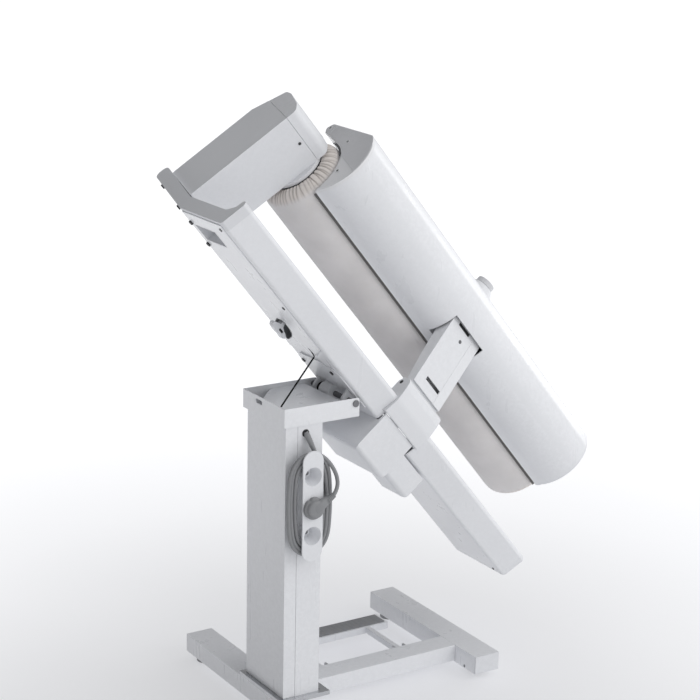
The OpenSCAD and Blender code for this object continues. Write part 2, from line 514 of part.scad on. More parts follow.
// ---------- roller ----------
module roller_tube() color("silver") head() difference() {
  lcyl(roller_a + 4, roller_b - 4, roller_y, roller_u, tube_r);
  lcyl(roller_a + 7, roller_b - 7, roller_y, roller_u, tube_r - 2);
  lcyl(roller_a, roller_b, roller_y, roller_u, shaft_r);
}
module roller_shaft() color("silver") head() {
  lcyl(hs_a + 8, roller_b - 2, roller_y, roller_u, shaft_r);
  lcyl(pul_l, pul_l + 16, roller_y, roller_u, 26.4);
  for (l = [pul_l, pul_l + 14]) lcyl(l, l + 2, roller_y, roller_u, 30);
}
module roller_padding() color("linen") head() translate([0, roller_y, roller_u]) rotate([0, 90, 0]) rotate_extrude($fn = 96)
  polygon(concat([[48, roller_a + 4], [48, roller_a]],
    [for (i = [0:6]) [roller_r - 9 + 9 * sin(15 * i), roller_a + 9 - 9 * cos(15 * i)]],
    [for (i = [0:6]) [roller_r - 9 + 9 * cos(15 * i), roller_b - 9 + 9 * sin(15 * i)]],
    [[44, roller_b], [44, roller_b - 4], [tube_r, roller_b - 4], [tube_r, roller_a + 4]]));

// ---------- pressing shoe ----------
knob_l = 106;
knob_y = 108;
knob_u = 370;
module shoe_shell() color("whitesmoke") head() difference() {
  union() {
    difference() {
      ext(shoe_a + 6, shoe_b - 6) polygon(shoe_profile);
      ext(shoe_a + 5, shoe_b - 5) polygon(shoe_hollow);
    }
    // boss under the knob
    translate([knob_l, knob_y, 351.5]) cylinder(h = 17, r1 = 28, r2 = 22);
    translate([knob_l + 11, knob_y, 351.5]) cylinder(h = 17, r1 = 27, r2 = 14);
  }
  ext(arm_a - 4, arm_b + 4) polygon([[0, 205], [60, 205], [67.5, 217.5], [73, 221], [70, 240], [60, 268], [10, 265]]);
  translate([knob_l, knob_y, 340]) cylinder(h = 40, r = 4.06);
}
module shoe_drive_cap() color("silver") head() difference() {
  ext(shoe_a, shoe_a + 6) polygon(shoe_profile);
  for (p = [[121.9, 325.3], [74.8, 260.5], [205, 344.2]]) lcyl(shoe_a - 1, shoe_a + 1.2, p[0], p[1], 2.6);
}
module shoe_free_cap() color("whitesmoke") head() difference() {
  ext(shoe_b - 6, shoe_b) polygon(shoe_profile);
  // lower corner rounded
  difference() {
    box([shoe_b - 6, 40, 200], [shoe_b + 1, 110, 211.5]);
    ycyl(39, 111, shoe_b - 6, 211.5, 6);
  }
}
module pressing_plate() color("silver") head() ext(shoe_a + 1, shoe_b - 1)
  polygon(concat(plarc(plate_r, 196, 98), plarc(plate_r + plate_t, 98, 196)));
module heating_element() color("dimgray") head() for (a = [118, 146, 174])
  lcyl(shoe_a + 30, shoe_b - 30, pl(a, plate_r + plate_t + 7)[0], pl(a, plate_r + plate_t + 7)[1], 3.3);
// arm: leaning box that enters the shoe, hub on the pin, sector lever below
arm_prof = [[-0.5, 113], [41, 266], [44, 276], [68, 276], [65, 246], [58, 226], [49.5, 196], [35, 156], [19, 114]];
module arm_tilt() translate([0, -0.5, 113]) rotate([-15.18, 0, 0]) children();
module shoe_arm() color("whitesmoke") head() difference() {
  union() {
    ext(arm_a, arm_b) polygon(rpoly(arm_prof, [2, 0, 0, 0, 0, 0, 0, 0, 4]));
    ext(arm_a, arm_b) polygon([[4, 96], [4, 120], [18, 120], [18, 96]]);
    lcyl(arm_a, arm_b, piv_y, piv_u, 7);
    ext(96, 112) intersection() {
      polygon([[piv_y - 6, piv_u], [piv_y + 6, piv_u], [piv_y + 30, piv_u - 130], [piv_y - 1, piv_u - 130]]);
      difference() {
        translate([piv_y, piv_u]) circle(r = sec_r, $fn = 128);
        translate([piv_y, piv_u]) circle(r = 3);
      }
    }
  }
  lcyl(arm_a - 1, arm_b + 1, piv_y, piv_u, 4.06);
  ext(arm_a + 3, arm_b - 3) polygon([[3.9, 122], [43.3, 266], [46.3, 273], [64.6, 273], [61.9, 246.5], [55, 227], [46.5, 197], [32.1, 157.5], [18.5, 122]]);
  // release slot and top notch in the near face, and the seat of the cover
  arm_tilt() box([81, -3, 22], [125.5, 8, 30]);
  arm_tilt() box([77, -3, 152], [113, 6, 161]);
  arm_tilt() box([arm_a - 1, -3, 1], [126.8, 1.2, 153.3]);
}
module arm_cover() color("whitesmoke") head() arm_tilt() difference() {
  box([arm_a, 0, 1.3], [126.5, 1.2, 153]);
  box([81, -3, 22], [125.5, 8, 30]);
}
module temperature_knob() color("whitesmoke") head() translate([knob_l, knob_y, knob_u]) {
  cylinder(h = 11, r = 18.5);
  translate([0, 0, -26]) cylinder(h = 27, r = 4);
}

column_left_shell();
column_right_shell();
base_plate();
cross_member();
left_foot_bar();
right_foot_bar();
foot_end_caps();
levelling_feet();
hinge_tray();
tilt_pin();
balance_spring();
cord_wrap();
cord_gland();
cord_lead();
cord_winding();
cord_tail();
plug_body();
plug_pins();
pedal_bracket();
stay_cable();
stand_screws();
left_wheel();
right_wheel();
foot_pedal();
pedal_tread();
beam();
beam_drive_cap();
beam_free_cap();
underside_plate();
handle_cup();
latch_cup();
hinge_bracket();
gear_housing();
housing_top_cover();
switch_panel();
drive_motor();
gearbox();
shaft_support();
shaft_bearing();
drive_belt();
arm_base_housing();
terminal_box();
arm_sleeve();
press_motor();
head_screws();
motor_pulley();
power_switch();
latch_lever();
press_pinion();
roller_tube();
roller_shaft();
roller_padding();
shoe_shell();
shoe_drive_cap();
shoe_free_cap();
pressing_plate();
heating_element();
shoe_arm();
arm_cover();
temperature_knob();
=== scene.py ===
import json
import math
import random

import bmesh
import bpy
from mathutils import Matrix, Vector


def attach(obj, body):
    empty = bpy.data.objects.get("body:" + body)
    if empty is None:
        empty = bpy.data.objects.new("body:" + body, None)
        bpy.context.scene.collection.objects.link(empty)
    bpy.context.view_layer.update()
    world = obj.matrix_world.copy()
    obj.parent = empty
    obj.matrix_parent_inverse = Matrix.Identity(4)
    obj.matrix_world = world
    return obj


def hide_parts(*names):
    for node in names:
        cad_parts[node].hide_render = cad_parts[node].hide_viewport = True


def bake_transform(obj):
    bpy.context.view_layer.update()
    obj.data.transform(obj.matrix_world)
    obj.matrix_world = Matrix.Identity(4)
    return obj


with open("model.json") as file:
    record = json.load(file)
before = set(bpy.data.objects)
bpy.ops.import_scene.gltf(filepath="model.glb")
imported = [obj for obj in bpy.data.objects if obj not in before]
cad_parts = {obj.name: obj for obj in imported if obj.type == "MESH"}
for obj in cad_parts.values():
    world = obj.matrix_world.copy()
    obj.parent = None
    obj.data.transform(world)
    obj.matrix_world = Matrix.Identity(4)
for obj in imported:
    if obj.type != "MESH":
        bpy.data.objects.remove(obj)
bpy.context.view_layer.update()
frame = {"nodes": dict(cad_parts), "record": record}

scene = bpy.context.scene
N = frame["nodes"]
R = random.Random(11)

# ---------------------------------------------------------------- places
# site axes: millimetres, X along the head, Y towards the user, Z up
# head axes: l along the roller, y across it, u square to the beam, 0 on the tilt pin
OX, OY = 310.475, 170.0
TH = math.radians(50.6)
CT, ST = math.cos(TH), math.sin(TH)
C15, S15 = math.cos(math.radians(15)), math.sin(math.radians(15))


def S(x, y, z):
    return Vector(((x - OX) / 1000, (y - OY) / 1000, z / 1000))


def H(l, y, u):
    return S(148 + l * CT + u * ST, y, 607 - l * ST + u * CT)


def H2(l, yp, up):
    return H(l, yp * C15 - up * S15, yp * S15 + up * C15)


L_DIR = Vector((CT, 0, -ST))
U_DIR = Vector((ST, 0, CT))
Y_DIR = Vector((0, 1, 0))

# ---------------------------------------------------------------- camera
A, E, RO = math.radians(32.45), math.radians(15.58), math.radians(1.143)
view = Vector((math.sin(A) * math.cos(E), math.cos(A) * math.cos(E), -math.sin(E)))
right = Vector((math.cos(A), -math.sin(A), 0))
up = Vector((math.sin(A) * math.sin(E), math.cos(A) * math.sin(E), math.cos(E)))
r2 = math.cos(RO) * right + math.sin(RO) * up
u2 = -math.sin(RO) * right + math.cos(RO) * up
cam_data = bpy.data.cameras.new("camera")
cam = bpy.data.objects.new("camera", cam_data)
scene.collection.objects.link(cam)
pos = Vector((-1.946975, -2.9536, 1.6286))
cam.matrix_world = Matrix(((r2.x, u2.x, -view.x, pos.x), (r2.y, u2.y, -view.y, pos.y),
                           (r2.z, u2.z, -view.z, pos.z), (0, 0, 0, 1)))
cam_data.sensor_width = 36
cam_data.lens = 98.96
cam_data.clip_end = 200
scene.camera = cam


# ---------------------------------------------------------------- mesh helpers
def new_obj(name, bm, smooth=True):
    me = bpy.data.meshes.new(name)
    bm.normal_update()
    bm.to_mesh(me)
    bm.free()
    o = bpy.data.objects.new(name, me)
    scene.collection.objects.link(o)
    for p in me.polygons:
        p.use_smooth = smooth
    return o


def grid_mesh(name, rows, close_u=False, close_v=False, cap=False, smooth=True, uv=None):
    """rows is a list of rows of points; close_u joins each row's ends, close_v the first and last row."""
    bm = bmesh.new()
    vs = [[bm.verts.new(p) for p in row] for row in rows]
    n, m = len(vs), len(vs[0])
    layer = bm.loops.layers.uv.new("cloth") if uv else None
    for i in range(n if close_v else n - 1):
        for j in range(m if close_u else m - 1):
            i2, j2 = (i + 1) % n, (j + 1) % m
            q = [(i, j), (i, j2), (i2, j2), (i2, j)]
            co = [vs[a][b] for a, b in q]
            try:
                f = bm.faces.new(co)
            except ValueError:
                continue
            if layer:
                ids = [(i, j), (i, j + 1), (i + 1, j + 1), (i + 1, j)]
                for lp, (a, b) in zip(f.loops, ids):
                    lp[layer].uv = uv(a, b)
    if cap:
        bm.faces.new(list(reversed(vs[0])))
        bm.faces.new(vs[-1])
    bmesh.ops.recalc_face_normals(bm, faces=bm.faces)
    return new_obj(name, bm, smooth)


def frames_along(pts, start=None):
    """Parallel-transported axes along a line of points."""
    out = []
    t0 = (pts[1] - pts[0]).normalized()
    n = (start or Vector((0, 0, 1))).copy()
    n = (n - t0 * n.dot(t0))
    if n.length < 1e-4:
        n = t0.orthogonal()
    n.normalize()
    for i, p in enumerate(pts):
        if i == 0:
            t = (pts[1] - pts[0]).normalized()
        elif i == len(pts) - 1:
            t = (pts[-1] - pts[-2]).normalized()
        else:
            t = (pts[i + 1] - pts[i - 1]).normalized()
        n = (n - t * n.dot(t)).normalized()
        out.append((p, t, n, t.cross(n)))
    return out


def tube(name, pts, radius, sides=24, start=None, cap=True):
    rows = []
    fr = frames_along(pts, start)
    for i, (p, t, n, b) in enumerate(fr):
        r = radius(i / (len(fr) - 1)) if callable(radius) else radius
        rows.append([p + (n * math.cos(2 * math.pi * k / sides) + b * math.sin(2 * math.pi * k / sides)) * r for k in range(sides)])
    return grid_mesh(name, rows, close_u=True, cap=cap)


def lathe(name, prof, origin, axis, sides=64, ref=None, cap=True):
    """prof is a list of (along, radius) in metres."""
    axis = axis.normalized()
    n = (ref or axis.orthogonal()).copy()
    n = (n - axis * n.dot(axis)).normalized()
    b = axis.cross(n)
    rows = []
    for a, r in prof:
        rows.append([origin + axis * a + (n * math.cos(2 * math.pi * k / sides) + b * math.sin(2 * math.pi * k / sides)) * max(r, 1e-5) for k in range(sides)])
    return grid_mesh(name, rows, close_u=True, cap=cap)


def bez(p0, p1, p2, p3, n):
    out = []
    for i in range(n + 1):
        t = i / n
        out.append(p0 * (1 - t) ** 3 + p1 * 3 * t * (1 - t) ** 2 + p2 * 3 * t * t * (1 - t) + p3 * t ** 3)
    return out


def line_len(pts):
    return sum((pts[i + 1] - pts[i]).length for i in range(len(pts) - 1))


def resample(pts, step):
    total = line_len(pts)
    n = max(2, int(round(total / step)))
    out, acc, i = [pts[0].copy()], 0.0, 0
    seg = (pts[1] - pts[0]).length
    for k in range(1, n):
        d = total * k / n
        while acc + seg < d and i < len(pts) - 2:
            acc += seg
            i += 1
            seg = (pts[i + 1] - pts[i]).length
        out.append(pts[i].lerp(pts[i + 1], (d - acc) / seg))
    out.append(pts[-1].copy())
    return out


def relax(pts, times, keep=2):
    pts = [p.copy() for p in pts]
    for _ in range(times):
        q = [p.copy() for p in pts]
        for i in range(keep, len(pts) - keep):
            q[i] = (pts[i - 1] + pts[i] * 2 + pts[i + 1]) / 4
        pts = q
    return pts


# ---------------------------------------------------------------- materials
def nodes_of(m):
    m.use_nodes = True
    nt = m.node_tree
    nt.nodes.clear()
    out = nt.nodes.new("ShaderNodeOutputMaterial")
    bsdf = nt.nodes.new("ShaderNodeBsdfPrincipled")
    nt.links.new(bsdf.outputs[0], out.inputs[0])
    return nt, bsdf, out


def node(nt, kind, **props):
    n = nt.nodes.new(kind)
    for k, v in props.items():
        setattr(n, k, v)
    return n


def noise(nt, coord, scale, detail=3.0, rough=0.55, distort=0.0):
    n = node(nt, "ShaderNodeTexNoise")
    n.inputs["Scale"].default_value = scale
    n.inputs["Detail"].default_value = detail
    n.inputs["Roughness"].default_value = rough
    n.inputs["Distortion"].default_value = distort
    nt.links.new(coord, n.inputs["Vector"])
    return n.outputs["Fac"]


def span(nt, value, lo, hi, a=0.0, b=1.0, smooth=False):
    n = node(nt, "ShaderNodeMapRange")
    if smooth:
        n.interpolation_type = "SMOOTHSTEP"
    n.inputs["From Min"].default_value = lo
    n.inputs["From Max"].default_value = hi
    n.inputs["To Min"].default_value = a
    n.inputs["To Max"].default_value = b
    nt.links.new(value, n.inputs["Value"])
    return n.outputs["Result"]


def mix_rgb(nt, fac, a, b, kind="MIX"):
    n = node(nt, "ShaderNodeMix", data_type="RGBA", blend_type=kind)
    if isinstance(fac, float):
        n.inputs[0].default_value = fac
    else:
        nt.links.new(fac, n.inputs[0])
    for sock, v in ((n.inputs[6], a), (n.inputs[7], b)):
        if isinstance(v, tuple):
            sock.default_value = (*v, 1)
        else:
            nt.links.new(v, sock)
    return n.outputs[2]


def math_node(nt, op, a, b=None):
    n = node(nt, "ShaderNodeMath", operation=op)
    for i, v in enumerate((a, b)):
        if v is None:
            continue
        if isinstance(v, (int, float)):
            n.inputs[i].default_value = v
        else:
            nt.links.new(v, n.inputs[i])
    return n.outputs[0]


def bump(nt, height, strength, dist, after=None):
    n = node(nt, "ShaderNodeBump")
    n.inputs["Strength"].default_value = strength
    n.inputs["Distance"].default_value = dist
    nt.links.new(height, n.inputs["Height"])
    if after is not None:
        nt.links.new(after, n.inputs["Normal"])
    return n.outputs["Normal"]


def object_coord(nt):
    return node(nt, "ShaderNodeTexCoord").outputs["Object"]


def hard(name, base, rough, grain=800.0, grain_depth=0.00006, grain_strength=0.25, tint=0.03, metallic=0.0,
         wear=0.25, wear_col=None, coat=0.0, spec=0.5, brushed=None, dirt=0.02):
    """Painted metal, moulded plastic, rubber or bare metal: colour drift, handling marks, grain and worn edges."""
    m = bpy.data.materials.new(name)
    nt, bsdf, _ = nodes_of(m)
    co = object_coord(nt)
    slow = noise(nt, co, 3.1, 2.0)
    fine = noise(nt, co, 46.0, 5.0, 0.6)
    streak_map = node(nt, "ShaderNodeMapping")
    streak_map.inputs["Scale"].default_value = (24.0, 24.0, 3.0)
    nt.links.new(co, streak_map.inputs["Vector"])
    smear = noise(nt, streak_map.outputs[0], 1.0, 4.0, 0.65, 0.4)
    dark = tuple(c * (1 - tint) for c in base)
    light = tuple(min(1.0, c * (1 + tint * 0.6)) for c in base)
    col = mix_rgb(nt, span(nt, slow, 0.35, 0.65), dark, light)
    if dirt:
        grime = math_node(nt, "MULTIPLY", span(nt, smear, 0.55, 0.8, 0.0, dirt, True), span(nt, fine, 0.4, 0.7, 0.4, 1.0))
        col = mix_rgb(nt, grime, col, tuple(c * 0.72 for c in (base[0], base[1] * 0.985, base[2] * 0.95)))
    if wear:
        geo = node(nt, "ShaderNodeNewGeometry")
        edge = span(nt, geo.outputs["Pointiness"], 0.505, 0.56, 0.0, 1.0, True)
        broken = span(nt, noise(nt, co, 120.0, 4.0, 0.7), 0.42, 0.62, 0.0, wear)
        fac = math_node(nt, "MULTIPLY", edge, broken)
        col = mix_rgb(nt, fac, col, wear_col or tuple(min(1.0, c * 1.12 + 0.03) for c in base))
    nt.links.new(col, bsdf.inputs["Base Color"])
    rr = span(nt, smear, 0.3, 0.75, rough - 0.05, rough + 0.09)
    nt.links.new(rr, bsdf.inputs["Roughness"])
    bsdf.inputs["Metallic"].default_value = metallic
    bsdf.inputs["Specular IOR Level"].default_value = spec
    if coat:
        bsdf.inputs["Coat Weight"].default_value = coat
        bsdf.inputs["Coat Roughness"].default_value = 0.13
    if brushed:
        mp = node(nt, "ShaderNodeMapping")
        mp.inputs["Scale"].default_value = brushed
        nt.links.new(co, mp.inputs["Vector"])
        h = noise(nt, mp.outputs[0], 1.0, 4.0, 0.7)
        nrm = bump(nt, h, 0.35, 0.0001)
    else:
        h = noise(nt, co, grain, 2.0, 0.5)
        nrm = bump(nt, h, grain_strength, grain_depth)
        soft = noise(nt, co, 55.0, 2.0, 0.5)
        nrm = bump(nt, soft, 0.05, 0.0003, nrm)
    nt.links.new(nrm, bsdf.inputs["Normal"])
    return m


WHITE = (0.80, 0.81, 0.835)
M = {
    "sheet_white": hard("sheet_white", WHITE, 0.30, grain=620, grain_depth=0.00005, grain_strength=0.2, coat=0.3),
    "plastic_white": hard("plastic_white", (0.785, 0.795, 0.82), 0.36, grain=1500, grain_depth=0.00005, grain_strength=0.35),
    "plastic_grey": hard("plastic_grey", (0.72, 0.73, 0.755), 0.40, grain=1500, grain_depth=0.00006, grain_strength=0.4),
    "plastic_dark": hard("plastic_dark", (0.045, 0.046, 0.05), 0.42, grain=1400, wear_col=(0.12, 0.12, 0.125), dirt=0.0),
    "steel": hard("steel", (0.60, 0.61, 0.63), 0.28, metallic=1.0, brushed=(700, 40, 700), wear=0.2),
    "steel_dark": hard("steel_dark", (0.10, 0.102, 0.11), 0.45, grain=900, wear_col=(0.4, 0.4, 0.42)),
    "aluminium": hard("aluminium", (0.74, 0.75, 0.77), 0.30, metallic=1.0, brushed=(60, 900, 900), wear=0.2),
    "rubber_black": hard("rubber_black", (0.025, 0.025, 0.027), 0.6, grain=700, wear_col=(0.09, 0.09, 0.09)),
    "rubber_grey": hard("rubber_grey", (0.255, 0.26, 0.27), 0.52, grain=900, grain_strength=0.5, wear_col=(0.36, 0.36, 0.37)),
    "wire_black": hard("wire_black", (0.008, 0.008, 0.009), 0.55, grain=1200, dirt=0.0, wear=0.0, spec=0.15),
}
# near-black trim, also used for arcs that paint the shade of gaps
M["dark_trim_and_gap_shade"] = hard("dark_trim_and_gap_shade", (0.10, 0.103, 0.11), 0.5, grain=1200, wear=0.0, dirt=0.0)
M["zinc"] = hard("zinc", (0.20, 0.203, 0.215), 0.38, metallic=0.6, brushed=(300, 300, 60), wear=0.25)
M["cap_light"] = hard("cap_light", (0.78, 0.785, 0.80), 0.42, grain=1500, grain_depth=0.00006, grain_strength=0.4)
# darker copy of the white cap plastic: painted shade, used for the shaded zone of the shoe's end cap and for the
# temperature knob
M["cap_painted_shade"] = hard("cap_painted_shade", (0.66, 0.665, 0.685), 0.44, grain=1500, grain_depth=0.00006, grain_strength=0.4)
# dark grey for the latch cup: painted shade in its hollow
M["cup_painted_shade"] = hard("cup_painted_shade", (0.16, 0.163, 0.172), 0.5, grain=900, wear=0.0, dirt=0.0)
# near-black strip colour: painted shadow under the shell's lip
M["lip_gap_shade"] = hard("lip_gap_shade", (0.16, 0.155, 0.15), 0.9, grain=1600, wear=0.0, dirt=0.0)
M["screw_dark"] = hard("screw_dark", (0.05, 0.05, 0.054), 0.4, grain=1200, metallic=0.4, wear=0.2, dirt=0.0)


def cloth_material(name, base, thread=0.0011, sheen=0.35):
    m = bpy.data.materials.new(name)
    nt, bsdf, _ = nodes_of(m)
    uv = node(nt, "ShaderNodeUVMap")
    uv.uv_map = "cloth"
    co = object_coord(nt)
    sep = node(nt, "ShaderNodeSeparateXYZ")
    nt.links.new(uv.outputs[0], sep.inputs[0])
    wob = noise(nt, co, 160.0, 3.0)
    fx = math_node(nt, "ADD", math_node(nt, "MULTIPLY", sep.outputs[0], 2 * math.pi / thread), math_node(nt, "MULTIPLY", wob, 3.0))
    fy = math_node(nt, "ADD", math_node(nt, "MULTIPLY", sep.outputs[1], 2 * math.pi / thread), math_node(nt, "MULTIPLY", wob, 3.0))
    sx, sy = math_node(nt, "SINE", fx), math_node(nt, "SINE", fy)
    # over-and-under plain weave
    weave = math_node(nt, "ADD", math_node(nt, "MULTIPLY", math_node(nt, "MULTIPLY", sx, sy), 0.5), 0.5)
    hair = noise(nt, co, 2600.0, 3.0, 0.7)
    height = math_node(nt, "ADD", weave, math_node(nt, "MULTIPLY", hair, 0.8))
    slow = noise(nt, co, 9.0, 4.0)
    blot = noise(nt, co, 42.0, 3.0)
    dark = tuple(c * 0.90 for c in base)
    light = tuple(min(1, c * 1.05) for c in base)
    col = mix_rgb(nt, span(nt, slow, 0.35, 0.68), dark, light)
    col = mix_rgb(nt, math_node(nt, "MULTIPLY", span(nt, blot, 0.5, 0.8), 0.18), col, tuple(c * f for c, f in zip(base, (0.90, 0.86, 0.80))))
    col = mix_rgb(nt, math_node(nt, "MULTIPLY", span(nt, weave, 0.0, 1.0, 1.0, 0.0), 0.22), col, tuple(c * 0.72 for c in base))
    fold = node(nt, "ShaderNodeAttribute", attribute_name="fold").outputs["Fac"]
    ends = node(nt, "ShaderNodeAttribute", attribute_name="gather").outputs["Fac"]
    col = mix_rgb(nt, math_node(nt, "MULTIPLY", ends, 0.75), col, (0.85, 0.785, 0.735))
    # painted shade: the pleat bottoms at the roller's ends are darkened by the fold attribute
    col = mix_rgb(nt, math_node(nt, "MULTIPLY", fold, 0.62), col, (0.20, 0.165, 0.145))
    nt.links.new(col, bsdf.inputs["Base Color"])
    bsdf.inputs["Roughness"].default_value = 0.88
    bsdf.inputs["Specular IOR Level"].default_value = 0.25
    bsdf.inputs["Sheen Weight"].default_value = sheen
    bsdf.inputs["Sheen Roughness"].default_value = 0.5
    nrm = bump(nt, height, 0.45, 0.00022)
    nrm = bump(nt, slow, 0.35, 0.004, nrm)
    nt.links.new(nrm, bsdf.inputs["Normal"])
    return m


M["cloth"] = cloth_material("cloth", (0.83, 0.805, 0.80))


def dress(name, mat, width=0.8, seg=2, angle=32.0, dissolve=0.5):
    """Material, softened edges and clean shading for a CAD node. Its own vertices stay as they are."""
    o = N[name]
    o.data.materials.clear()
    o.data.materials.append(mat)
    if o.data.has_custom_normals:
        bpy.context.view_layer.objects.active = o
        with bpy.context.temp_override(object=o, active_object=o, selected_objects=[o], mesh=o.data):
            bpy.ops.mesh.customdata_custom_splitnormals_clear()
    for p in o.data.polygons:
        p.use_smooth = True
    w = o.modifiers.new("weld", "WELD")
    w.merge_threshold = 0.00002
    if dissolve:
        d = o.modifiers.new("flats", "DECIMATE")
        d.decimate_type = "DISSOLVE"
        d.angle_limit = math.radians(dissolve)
        d.use_dissolve_boundaries = False
    if width:
        b = o.modifiers.new("edges", "BEVEL")
        b.width = width / 1000
        b.segments = seg
        b.limit_method = "ANGLE"
        b.angle_limit = math.radians(angle)
        b.use_clamp_overlap = True
        b.harden_normals = False
    n = o.modifiers.new("normals", "WEIGHTED_NORMAL")
    n.keep_sharp = True
    return o


# ---------------------------------------------------------------- mains cord, first
CORD_R = 0.0037
WX, WZ = 43.5, 438.0
FRONT_Y, BACK_Y = -17.9, -10.2
HS = 56.5


def obround_walk(turns, r_of, y_of, a0):
    """Clockwise walk round the two funnels. a0 is the starting place as a share of one turn, 0 at the middle of the right side."""
    out = []
    steps = 96
    total = int(round(turns * steps))
    for k in range(total + 1):
        t = k / steps            # turns done
        s = (a0 + t) % 1.0
        r = r_of(t)
        per = 4 * HS + 2 * math.pi * r
        d = s * per
        # clockwise from the middle of the right side, going down
        if d < HS:
            x, z = r, -d
        elif d < HS + math.pi * r:
            g = (d - HS) / r
            x, z = r * math.cos(g), -HS - r * math.sin(g)
        elif d < 3 * HS + math.pi * r:
            x, z = -r, -HS + (d - HS - math.pi * r)
        elif d < 3 * HS + 2 * math.pi * r:
            g = (d - 3 * HS - math.pi * r) / r
            x, z = -r * math.cos(g), HS + r * math.sin(g)
        else:
            x, z = r, HS - (d - 3 * HS - 2 * math.pi * r)
        bow = 4.6 * math.cos(math.pi * z / (2 * (HS + r))) ** 2
        x += math.copysign(min(bow, abs(x) * 0.3), x)
        out.append(S(WX + x, y_of(t), WZ + z))
    return out


def sm(t):
    t = max(0.0, min(1.0, t))
    return t * t * (3 - 2 * t)


# lead: out of the gland, down behind the winding plate, into the rear layer
lead = [S(46, 3.6, 567.5), S(46.7, -1.2, 563.2), S(48.2, -5.6, 556.6), S(50.2, -8.9, 549.2), S(52.6, -10.2, 541.4)]
# rear layer: two turns inwards; then forward and three turns outwards
back_start = 0.905
R_OUT, R_IN = 38.0, 22.8
wind = obround_walk(
    4.93,
    lambda t: (R_OUT - 7.6 * t if t < 2.0 else R_IN + 7.6 * (t - 2.0) if t < 4.0 else R_OUT + 3.0 * sm((t - 4.0) / 0.9)),
    lambda t: BACK_Y + (FRONT_Y - BACK_Y) * sm((t - 1.86) / 0.28) - 1.4 * sm((t - 4.6) / 0.33),
    back_start)
t_end = wind[-1]
t_dir = (wind[-1] - wind[-3]).normalized()
plug_c = S(43.5, -38.0, 436.0)
grip = Vector((math.sin(math.radians(62)), 0, math.cos(math.radians(62))))
plug_in = plug_c + grip * 0.042
tail = bez(t_end, t_end + t_dir * 0.026 + Vector((0, -0.004, 0)), plug_in + grip * 0.026 + Vector((0, 0.002, 0)), plug_in, 30)
first = bez(lead[-1], lead[-1] + (lead[-1] - lead[-2]).normalized() * 0.010, wind[0] - (wind[1] - wind[0]).normalized() * 0.010, wind[0], 8)
route = lead[:-1] + first + wind[1:-1] + tail
route = resample(route, 0.0045)
route = relax(route, 14, keep=1)

cu = bpy.data.curves.new("mains_cord", "CURVE")
cu.dimensions = "3D"
sp = cu.splines.new("POLY")
sp.points.add(len(route) - 1)
for p, q in zip(sp.points, route):
    p.co = (*q, 1)
cu.bevel_depth = CORD_R
cu.bevel_resolution = 5
cu.use_fill_caps = True
cord = bpy.data.objects.new("mains_cord", cu)
scene.collection.objects.link(cord)
cord.data.materials.append(M["rubber_grey"])

relief_pts = resample([p for p in route if (p - route[0]).length < 0.0375], 0.0015)


def relief_radius(t):
    r = 0.0056 * (1 - t) + 0.0041 * t
    if t < 0.11:
        r = 0.0044
    return r + (0.00035 if (t * 14) % 1 < 0.5 and 0.16 < t < 0.85 else 0)


relief = tube("cord_relief", relief_pts, relief_radius, 28)
relief.data.materials.append(M["rubber_grey"])

# plug: round face, stepped body, grip that leaves to the upper right, ribbed sleeve
plug_axis = Vector((0, -1, 0))
plug_o = S(43.5, -29.0, 436.0)
disc = lathe("plug_face", [(0.0, 0.0196), (0.0008, 0.0205), (0.0062, 0.0205), (0.0072, 0.0198), (0.0078, 0.0174), (0.0082, 0.0170), (0.0122, 0.0166), (0.0142, 0.0150), (0.0150, 0.0115), (0.0152, 0.0)],
             plug_o, plug_axis, 72, ref=grip)
bm = bmesh.new()
bm.from_mesh(disc.data)
for v in bm.verts:
    d = v.co - plug_o
    a = math.atan2(d.z, d.x) - math.atan2(grip.z, grip.x)
    r = math.hypot(d.x, d.z)
    if r > 0.017 and -d.y < 0.0075:
        # two moulded notches across the face
        k = min(abs((a - math.pi / 2 + math.pi) % (2 * math.pi) - math.pi), abs((a + math.pi / 2 + math.pi) % (2 * math.pi) - math.pi))
        if k < 0.16:
            v.co -= Vector((d.x, 0, d.z)) / r * 0.0022
bm.to_mesh(disc.data)
bm.free()
disc.data.materials.append(M["rubber_grey"])
rows = []
gn = Vector((0, -1, 0))
gb = grip.cross(gn)
for k in range(40):
    t = k / 39
    d = -0.004 + 0.034 * t
    wide = 0.0152 * (1 - t) ** 1.3 + 0.0072 * (1 - (1 - t) ** 1.3)
    deep = 0.0068 + 0.0022 * math.sin(math.pi * min(1, t * 1.2)) - 0.001 * t
    rows.append([plug_c + Vector((0, 0.0008, 0)) + grip * d + gb * (wide * math.copysign(abs(math.cos(g)) ** 0.8, math.cos(g))) + gn * (deep * math.copysign(abs(math.sin(g)) ** 0.8, math.sin(g)))
                 for g in [2 * math.pi * i / 40 for i in range(40)]])
grip_o = grid_mesh("plug_grip", rows, close_u=True, cap=True)
grip_o.data.materials.append(M["rubber_grey"])
sleeve_pts = [plug_c + grip * (0.028 + 0.0155 * i / 46) for i in range(47)]


def sleeve_radius(t):
    base = 0.0071 - 0.0021 * t
    g = (t * 4.6) % 1.0
    return base - (0.0013 if 0.62 < g < 0.95 and 0.08 < t < 0.92 else 0.0)


sleeve = tube("plug_sleeve", sleeve_pts, sleeve_radius, 32)
sleeve.data.materials.append(M["rubber_grey"])

for o in (cord, relief, disc, grip_o, sleeve):
    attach(o, "stand")
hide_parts("cord_lead", "cord_winding", "cord_tail")
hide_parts("plug_body")
tuple(route[0])

